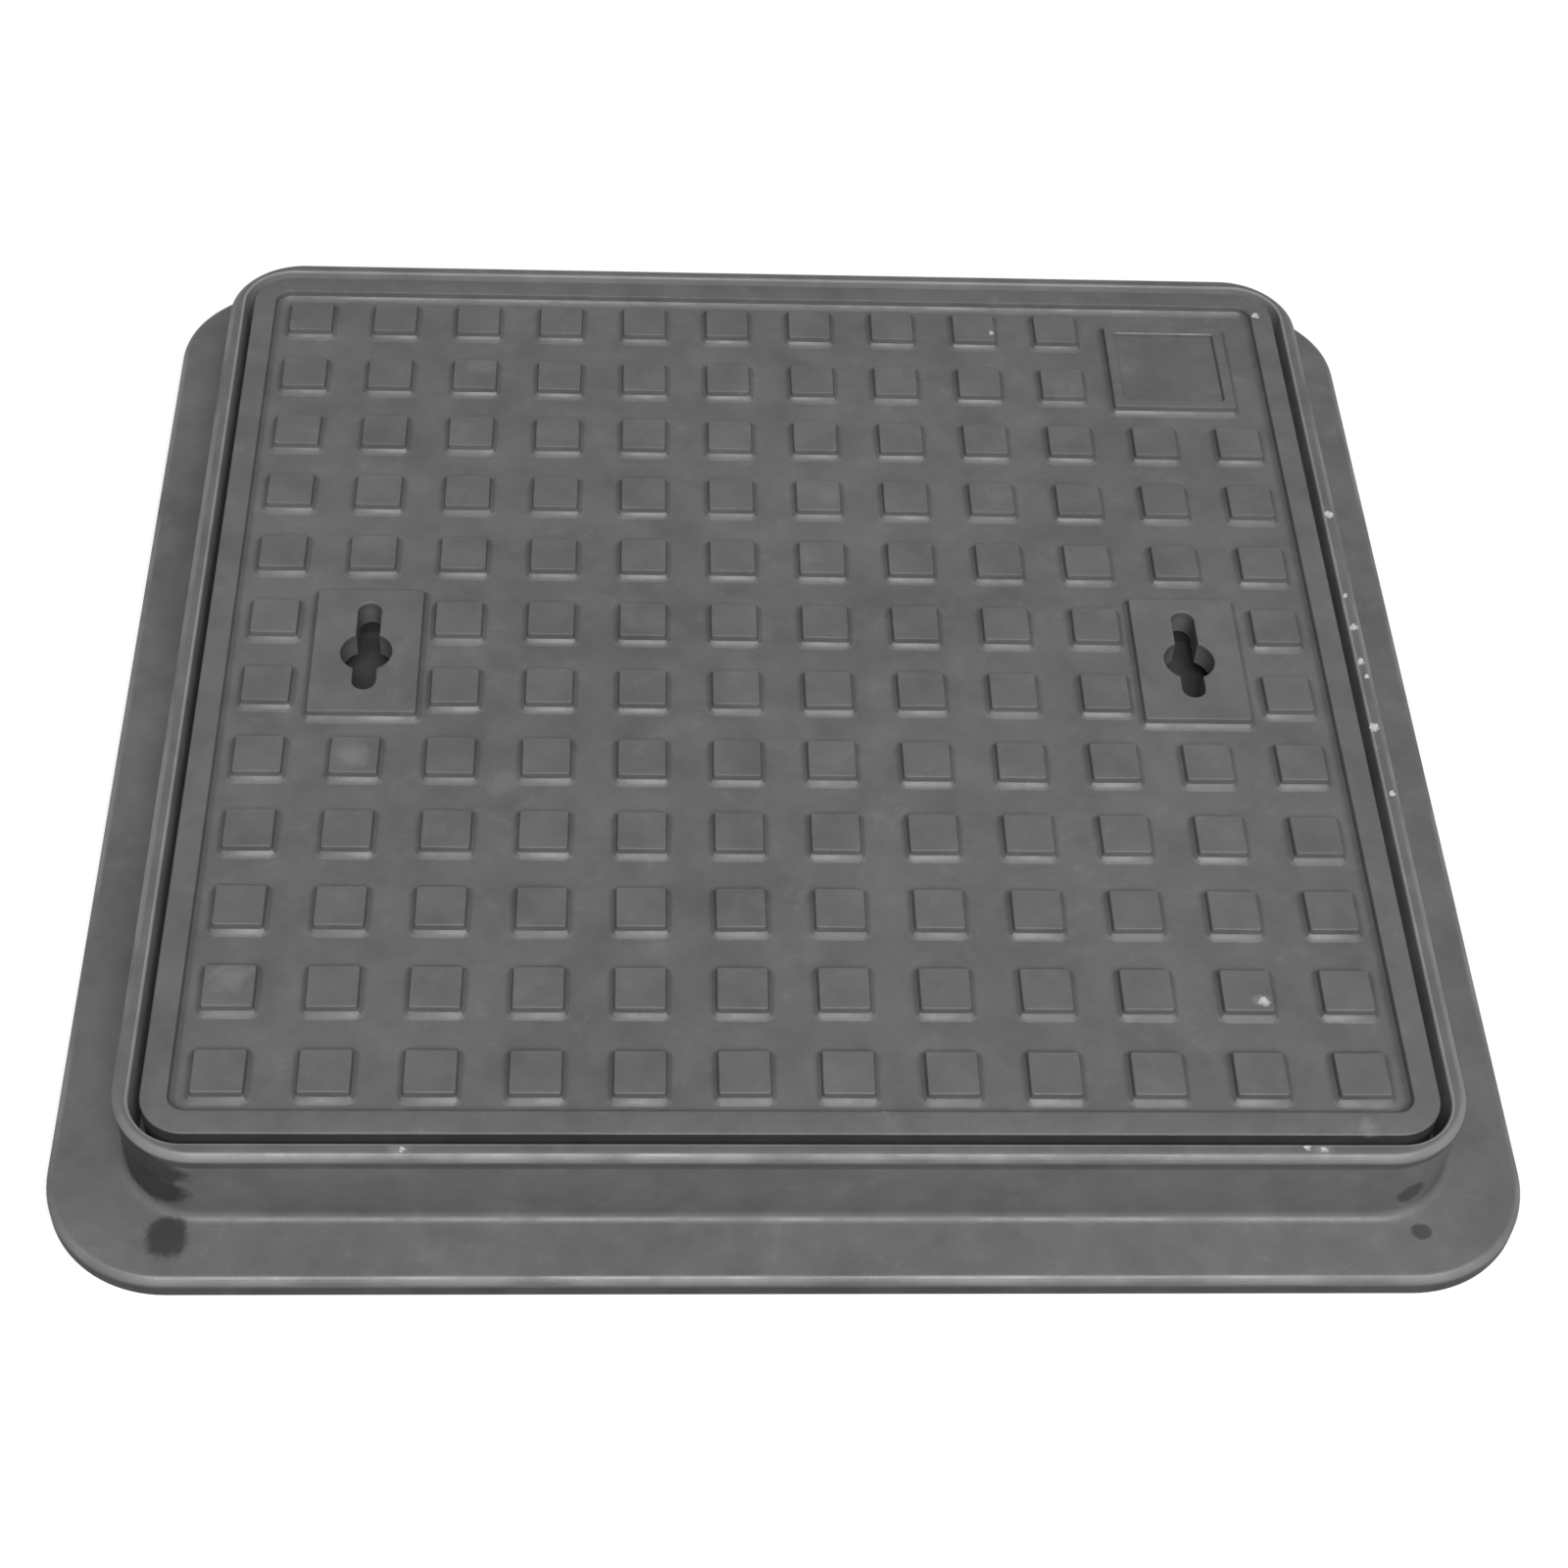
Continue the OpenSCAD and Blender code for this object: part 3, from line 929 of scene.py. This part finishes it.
# %% Place the chips
CHIP_R = 2.3 * MM
CHIP_LIFT = 0.55 * CHIP_R
CHIP_LEAST, CHIP_MOST = 0.8, 1.35
RIM_CHIPS = (
    (1357, 525), (1373, 608), (1382, 640), (1389, 675), (1395, 690), (1421, 810),
    (410, 1173), (1143, 1158), (1334, 1171), (1352, 1173), (1390, 1154), (1402, 742),
)
COVER_CHIPS = ((1281, 322), (1268, 337), (1290, 1022), (1012, 340), (905, 1131), (620, 1125))


def chip_die():
    """A rough lump the size of one chip."""
    mesh = bpy.data.meshes.new("chip_die")
    work = bmesh.new()
    bmesh.ops.create_icosphere(work, subdivisions=2, radius=CHIP_R)
    draw = random.Random(5)
    for vertex in work.verts:
        vertex.co *= draw.uniform(0.72, 1.1)
    work.to_mesh(mesh)
    work.free()
    made = bpy.data.objects.new("chip_die", mesh)
    bpy.context.scene.collection.objects.link(made)
    return made


def chip_tree():
    board, given = new_tree(
        "chips",
        {"Places": "Object", "Least": "Float", "Most": "Float", "Seed": "Int", "Finish": "Material"},
    )
    places = board.node("GeometryNodeObjectInfo", {}, {"Object": given["Places"]}, "Geometry")
    turn = board.node(
        "FunctionNodeRandomValue", {"data_type": "FLOAT_VECTOR"},
        {"Min": (0.0, 0.0, 0.0), "Max": (6.28, 6.28, 6.28), "Seed": given["Seed"]}, "Value",
    )
    size = board.node(
        "FunctionNodeRandomValue", {"data_type": "FLOAT"},
        {"Min": given["Least"], "Max": given["Most"], "Seed": given["Seed"] + 1}, "Value",
    )
    lumps = board.node(
        "GeometryNodeInstanceOnPoints", {},
        {"Points": places, "Instance": given["Geometry"], "Rotation": turn, "Scale": size}, "Instances",
    )
    end_tree(board, lumps, given["Finish"])
    return board


def chips(name, pixels, seed):
    """Lumps that dip into the top face, at these pixels of the photograph."""
    lift = Vector((0.0, 0.0, CHIP_LIFT))
    places = mesh_object("places", [place_of(pixel, TOP) + lift for pixel in pixels], [])
    made = run_tree(chip_die(), name, chip_tree(), {
        "Places": places, "Least": CHIP_LEAST, "Most": CHIP_MOST, "Seed": seed, "Finish": BREAK_FINISH,
    })
    bpy.data.objects.remove(places)
    return made


cover_cuts.append(chips("cover_chips", COVER_CHIPS, 3))

# %% [markdown]
# Now the cover is welded into one piece, with one continuous skin from stud to stud.
# Edges that turn more than a small angle stay crisp, and the rest is shaded smooth.
# The piece then takes the place of its plain solid.

# %% Weld the cover
CRISP = radians(17)


def dress(piece, node):
    """Shades a welded piece and lets it stand for its solid."""
    piece.data.shade_smooth()
    piece.data.set_sharp_from_angle(angle=CRISP)
    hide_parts(node)
    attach(piece, "root")
    return piece


cover_base = border()
for part in (cover_base, *cover_adds, *cover_cuts):
    if not part.data.materials:
        painted(part, COVER_FINISH)
cover = weld("cover_moulding", cover_base, cover_adds, cover_cuts)
dress(cover, "cover")

# %% [markdown]
# The frame is made the same way: a flange with a rounded edge, and an upstand with a
# bead under its rim, a slightly drafted wall and a fillet at its foot. Its finish
# needs its sizes. Boots and tools rub the two outer edges pale in patches, which also paints a
# highlight on them, painted shade darkens the corner under the bead and the foot of the flange, the gap
# is painted pale against the shade in it, and dust lies on the ledge deep in the gap. So the sizes that
# the finish reads come first.

# %% Take the frame's sizes and mix its finish
COVER_GAP = 4.0 * MM
RIM_T = 7.0 * MM
POCKET_HALF = COVER_HALF + COVER_GAP
POCKET_R = COVER_R + COVER_GAP
RIM_HALF = POCKET_HALF + RIM_T
RIM_R = 34.0 * MM
RIM_EDGE_R = 3.5 * MM
FLANGE_R = 50.0 * MM
FLANGE_T = 9.5 * MM
FLANGE_EDGE_R = 3.5 * MM
# Painted highlight and wear on the outer edges of the flange and the rim.
RUBBED_HIGHLIT_EDGES = [
    (FLANGE_HALF, FLANGE_R, FLANGE_EDGE_R, FLANGE_T),
    (RIM_HALF, RIM_R, RIM_EDGE_R, TOP),
]
GAP_DUST = (SEAT_Z - SHADE_AND_DUST_EDGE, SEAT_Z + 6.0 * MM, TOP - 8.0 * MM)
# Painted shade on the wall just under the bead.
BEAD_SHADE = (TOP - 8.5 * MM, TOP - 4.0 * MM, 0.9 * MM, 0.4)
# Painted shade on the side of the flange, next to the floor.
FLANGE_FOOT_SHADE = (-2.0 * MM, 6.0 * MM, 1.4 * MM, 0.6)
FRAME_FINISH = composite(
    "frame_skin", painted_shade=[BEAD_SHADE, FLANGE_FOOT_SHADE], rubbed_highlit=RUBBED_HIGHLIT_EDGES, spots=marks(FRAME_MARKS)
)
# The pocket walls, the ledge, the lip and its ribs are painted paler than the skin, as painted light
# against the shade in the gap; dust on the ledge is paler still.
GAP_PAINTED_LIGHT_AND_DUST = composite("gap_dust_and_painted_light", grey=0.2, roughness=0.6, dust=GAP_DUST)
print("the frame has", len(RUBBED_HIGHLIT_EDGES), "rubbed edges and", len(FRAME_MARKS), "marks")

# %% [markdown]
# The pocket is cut from the flange and the upstand, and the ledge, the lip and the ribs
# under the ledge are set in. The ribs repeat along four sides, so Geometry Nodes place
# them: a line of them on one side, and three turned copies of that side.

# %% Make the ribs under the ledge
LIP_T = 6.0 * MM
SEAT_T = 7.0 * MM
SEAT_RIBS = 9
SEAT_RIB_T = 5.0 * MM
SEAT_RIB_CORNER = 0.3 * MM
LIP_MID = OPENING_HALF + LIP_T / 2


def seat_rib_die():
    """One rib under the ledge, on the +X side, across the middle of it."""
    reach = POCKET_HALF + SINK
    half_x = (reach - LIP_MID) / 2
    section = [(0.0, 0.0), (0.0, SEAT_Z - SINK)]
    middle = (reach - half_x, 0.0)
    return shell("seat_rib_die", half_x, SEAT_RIB_T / 2, SEAT_RIB_CORNER, section, 1, at=middle)


def seat_rib_tree():
    board, given = new_tree("seat_ribs", {"Ribs": "Int", "Half Span": "Float", "Finish": "Material"})
    low = board.node("ShaderNodeCombineXYZ", {}, {"Y": given["Half Span"] * -1}, "Vector")
    high = board.node("ShaderNodeCombineXYZ", {}, {"Y": given["Half Span"]}, "Vector")
    line = board.node(
        "GeometryNodeMeshLine", {"mode": "END_POINTS"},
        {"Count": given["Ribs"], "Start Location": low, "Offset": high}, "Mesh",
    )
    side = board.node(
        "GeometryNodeInstanceOnPoints", {}, {"Points": line, "Instance": given["Geometry"]}, "Instances"
    )
    sides = [
        board.node("GeometryNodeTransform", {}, {"Geometry": side, "Rotation": (0.0, 0.0, radians(turn))})
        for turn in (0, 90, 180, 270)
    ]
    all_round = board.node("GeometryNodeJoinGeometry", {}, {"Geometry": sides})
    end_tree(board, all_round, given["Finish"])
    return board


seat_ribs = run_tree(seat_rib_die(), "seat_ribs", seat_rib_tree(), {
    "Ribs": SEAT_RIBS - 2, "Half Span": LIP_MID * (SEAT_RIBS - 3) / (SEAT_RIBS - 1),
    "Finish": FRAME_FINISH,
})

# %% [markdown]
# The corner radius of the rim is larger outside than the pocket's inside, so the land
# between them narrows at each corner, as the photograph shows. The chips of the rim
# are cut with the same lumps as before.

# %% Weld the frame
RIM_BEVEL = 1.2 * MM
BEAD_H = 4.0 * MM
BEAD_OUT = 0.7 * MM
WALL_DRAFT = 0.4 * MM
FOOT_FILLET_R = 4.0 * MM
OPENING_R = 20.0 * MM


def flange():
    section = [(0.0, 0.0)] + arc(-FLANGE_EDGE_R, FLANGE_T - FLANGE_EDGE_R, FLANGE_EDGE_R, 0, 90, 5)
    return shell("flange", FLANGE_HALF, FLANGE_HALF, FLANGE_R, section, 24)


def upstand():
    wall_foot = WALL_DRAFT - BEAD_OUT
    fillet = arc(wall_foot + FOOT_FILLET_R, FLANGE_T + FOOT_FILLET_R, FOOT_FILLET_R, 270, 180, 6)
    under = TOP - BEAD_H
    bead = [(share * BEAD_OUT, under + share * BEAD_OUT) for share in (-1.0, -0.25)]
    bead.append((0.0, under + BEAD_OUT / 2))
    edge = arc(-RIM_EDGE_R, TOP - RIM_EDGE_R, RIM_EDGE_R, 0, 90, 5)
    section = [(wall_foot + FOOT_FILLET_R, SINK)] + fillet + bead + edge
    return shell("upstand", RIM_HALF, RIM_HALF, RIM_R, section, 24)


def pocket():
    mouth = arc(RIM_BEVEL, TOP - RIM_BEVEL, RIM_BEVEL, 180, 90, 3)
    section = [(0.0, -CUT)] + mouth + [(RIM_BEVEL + CUT, TOP + CUT)]
    return shell("pocket", POCKET_HALF, POCKET_HALF, POCKET_R, section)


seat_step = slab("ledge", POCKET_HALF + SINK, POCKET_R + SINK, SEAT_Z - SEAT_T, SEAT_Z)
lip = slab("lip", OPENING_HALF + LIP_T, OPENING_R + LIP_T, 0.0, SEAT_Z)
opening = slab("opening", OPENING_HALF, OPENING_R, -CUT, SEAT_Z + CUT)
skin = [painted(part, FRAME_FINISH) for part in (flange(), upstand())]
outside = weld("frame_outside", skin[0], [skin[1]], [painted(pocket(), GAP_PAINTED_LIGHT_AND_DUST)])
seat = painted(weld("frame_seat", seat_step, [lip, seat_ribs], [opening]), GAP_PAINTED_LIGHT_AND_DUST)
rim = weld("frame_moulding", outside, [seat], [chips("rim_chips", RIM_CHIPS, 11)])
dress(rim, "frame")

# %% [markdown]
# The key cups are plain round parts with nothing to add but their finish: the same
# plastic, much darker. They stay the solids of the
# imported model, and only their material changes.

# %% Finish the key cups
CUP_FINISH = composite("cup_skin", grey=0.04)
for node in ("key_cup_left", "key_cup_right"):
    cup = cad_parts[node]
    cup.data.materials.clear()
    cup.data.materials.append(CUP_FINISH)
    print(node, "takes", CUP_FINISH.name)
